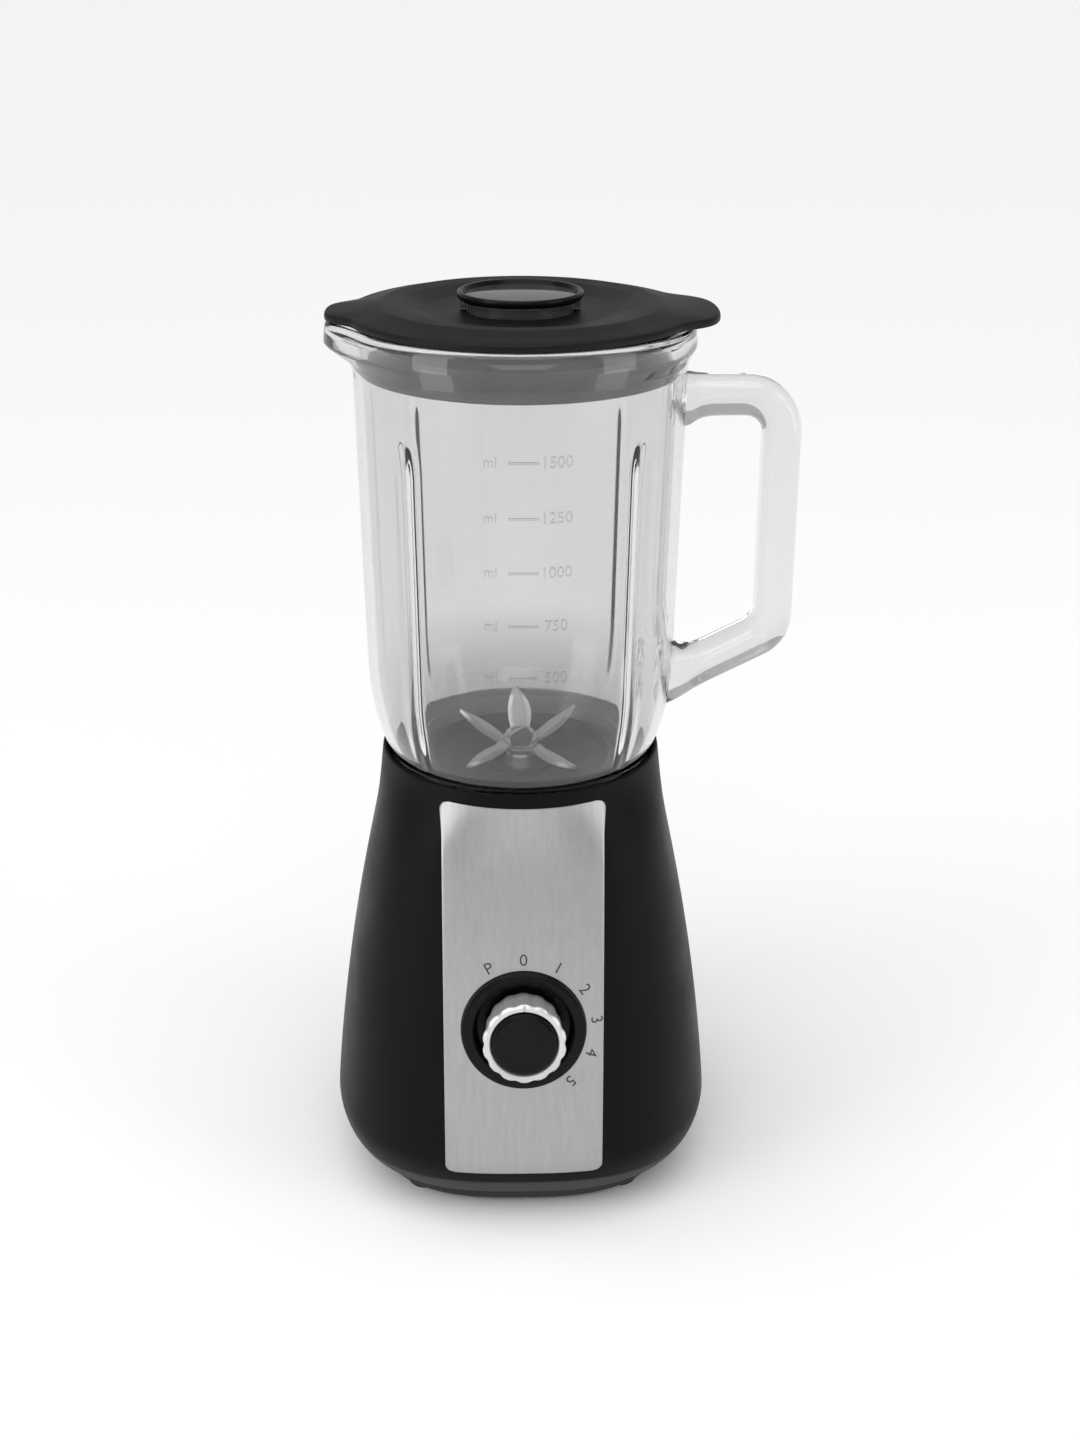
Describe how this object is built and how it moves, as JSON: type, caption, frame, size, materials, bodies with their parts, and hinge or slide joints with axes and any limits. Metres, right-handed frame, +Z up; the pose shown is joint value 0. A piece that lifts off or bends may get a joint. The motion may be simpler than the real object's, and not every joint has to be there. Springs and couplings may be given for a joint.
{
  "type": "countertop blender",
  "caption": "Countertop blender: rounded base with a dial, glass jar with handle and spout, blade unit, lid and measuring cup.",
  "frame": {"origin": "where the drive axis meets the table that the blender stands on, 1 mm under the flat pad of the bottom cover", "axes": "+Z up along the drive axis; -Y is the front with the dial; +X is the handle side and -X the spout side"},
  "size_m": [0.2004, 0.1823, 0.394],
  "materials": {
    "body_black": "satin black moulded plastic",
    "panel_steel": "vertically brushed stainless sheet",
    "dark_plastic": "fine-textured dark grey plastic",
    "seat_plastic": "satin dark grey plastic",
    "gloss_black": "polished black plastic",
    "lid_black": "soft satin black plastic",
    "rubber_black": "matt black rubber",
    "seal_grey": "matt grey silicone",
    "knob_chrome": "satin chrome",
    "jar_glass": "clear pressed glass",
    "cup_smoke": "smoke-tinted clear plastic",
    "blade_steel": "ground stainless steel",
    "screw_steel": "zinc-plated steel",
    "laminations": "varnished steel laminations",
    "copper_wire": "enamelled copper",
    "nylon_white": "natural nylon"
  },
  "bodies": {
    "base": {"base_housing": "body_black", "front_panel": "panel_steel", "bottom_cover": "dark_plastic", "foot_1": "rubber_black", "foot_2": "rubber_black", "foot_3": "rubber_black", "foot_4": "rubber_black", "cover_screw_1": "screw_steel", "cover_screw_2": "screw_steel", "cover_screw_3": "screw_steel", "cover_screw_4": "screw_steel", "cord_gland": "rubber_black", "knob_bezel": "gloss_black", "switch_body": "dark_plastic", "switch_nut": "screw_steel", "stator_stack": "laminations", "field_coil_front": "copper_wire", "field_coil_rear": "copper_wire", "upper_bracket": "laminations", "lower_bracket": "laminations", "upper_bearing": "screw_steel", "lower_bearing": "screw_steel", "brush_holder_left": "dark_plastic", "brush_holder_right": "dark_plastic", "motor_damper_1": "rubber_black", "motor_damper_2": "rubber_black", "motor_damper_3": "rubber_black", "motor_damper_4": "rubber_black", "motor_screw_1": "screw_steel", "motor_screw_2": "screw_steel", "motor_screw_3": "screw_steel", "motor_screw_4": "screw_steel", "tie_bolt_front": "screw_steel", "tie_bolt_rear": "screw_steel"},
    "rotor": {"motor_shaft": "screw_steel", "armature": "laminations", "commutator": "copper_wire", "cooling_fan": "nylon_white", "drive_coupling": "rubber_black"},
    "knob": {"knob_ring": "knob_chrome", "knob_cap": "gloss_black", "switch_spindle": "screw_steel"},
    "jar": {"glass_jar": "jar_glass", "jar_base_nut": "body_black", "blade_seat": "seat_plastic", "jar_gasket": "seal_grey", "blade_bearing": "blade_steel"},
    "blades": {"blade_shaft": "blade_steel", "driven_coupling": "rubber_black", "blade_low": "blade_steel", "blade_middle": "blade_steel", "blade_high": "blade_steel", "blade_nut": "blade_steel"},
    "lid": {"lid": "lid_black", "lid_seal": "seal_grey"},
    "cup": {"measuring_cup": "cup_smoke"}
  },
  "joints": [
    {"name": "rotor_spin", "type": "hinge", "parent": "base", "child": "rotor", "pos_m": [0, 0, 0.1], "axis": [0, 0, 1], "continuous": true},
    {"name": "knob_turn", "type": "hinge", "parent": "base", "child": "knob", "pos_m": [0, -0.0776, 0.0966], "axis": [0, 0.9887, -0.1502], "range_deg": [-28, 140]},
    {"name": "jar_lift", "type": "slide", "parent": "base", "child": "jar", "axis": [0, 0, 1], "range_m": [0, 0.08]},
    {"name": "blade_spin", "type": "hinge", "parent": "jar", "child": "blades", "pos_m": [0, 0, 0.19], "axis": [0, 0, 1], "continuous": true},
    {"name": "lid_lift", "type": "slide", "parent": "jar", "child": "lid", "axis": [0, 0, 1], "range_m": [0, 0.12]},
    {"name": "cup_lift", "type": "slide", "parent": "lid", "child": "cup", "axis": [0, 0, 1], "range_m": [0, 0.06]}
  ],
  "couplings": [
    {"joint": "blade_spin", "follows": "rotor_spin", "ratio": 1}
  ]
}
